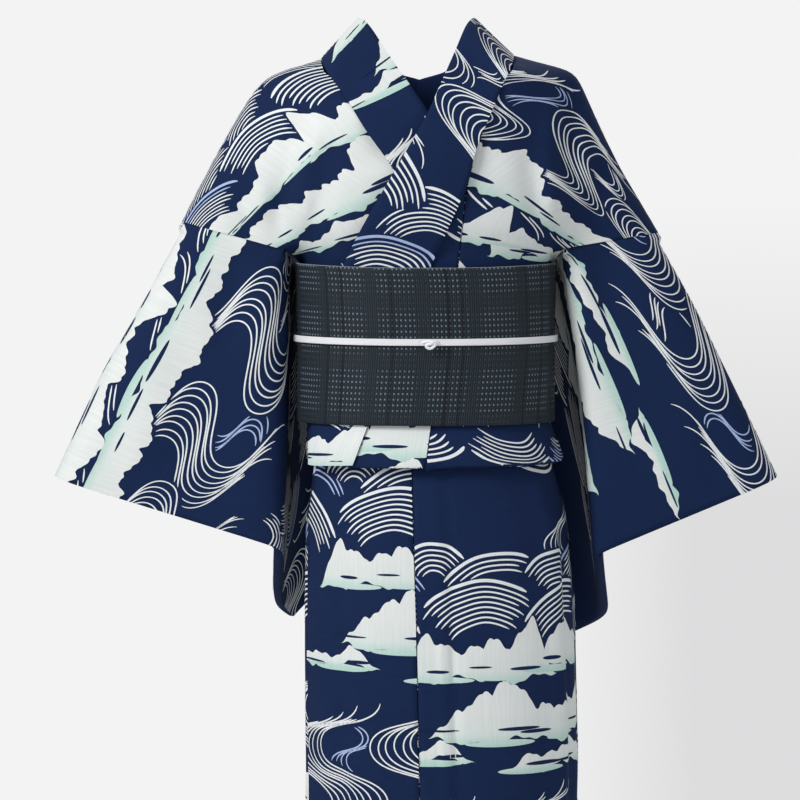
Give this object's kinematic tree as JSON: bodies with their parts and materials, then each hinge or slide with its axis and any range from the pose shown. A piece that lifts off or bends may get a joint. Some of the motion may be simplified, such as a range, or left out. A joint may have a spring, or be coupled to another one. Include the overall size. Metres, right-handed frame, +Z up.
{
  "type": "cotton yukata robe with obi belt",
  "caption": "Cotton robe in its worn form, left front over right, with hanging square sleeves, waist tuck, woven band belt and braided cord.",
  "frame": {"origin": "base of the neck, on the shoulder line, where the wearer's shoulders hold the robe", "axes": "+Z up, the front of the robe faces -Y, the wearer's left is +X"},
  "size_m": [0.805, 0.3068, 1.3438],
  "materials": {
    "yukata_cotton": "matte printed plain-weave cotton",
    "obi_weave": "dull woven check with a dotted grid",
    "cord_braid": "flat white braid"
  },
  "bodies": {
    "root": {"body_left": "yukata_cotton", "body_right": "yukata_cotton", "okumi_left": "yukata_cotton", "okumi_right": "yukata_cotton", "collar": "yukata_cotton", "sleeve_left": "yukata_cotton", "sleeve_right": "yukata_cotton", "skirt_okumi_left": "yukata_cotton", "skirt_front_left": "yukata_cotton", "skirt_back_left": "yukata_cotton", "skirt_back_right": "yukata_cotton", "skirt_front_right": "yukata_cotton", "skirt_okumi_right": "yukata_cotton", "obi_wrap": "obi_weave", "obi_knot": "obi_weave", "obi_cord": "cord_braid", "obi_cord_knot": "cord_braid"}
  },
  "joints": []
}
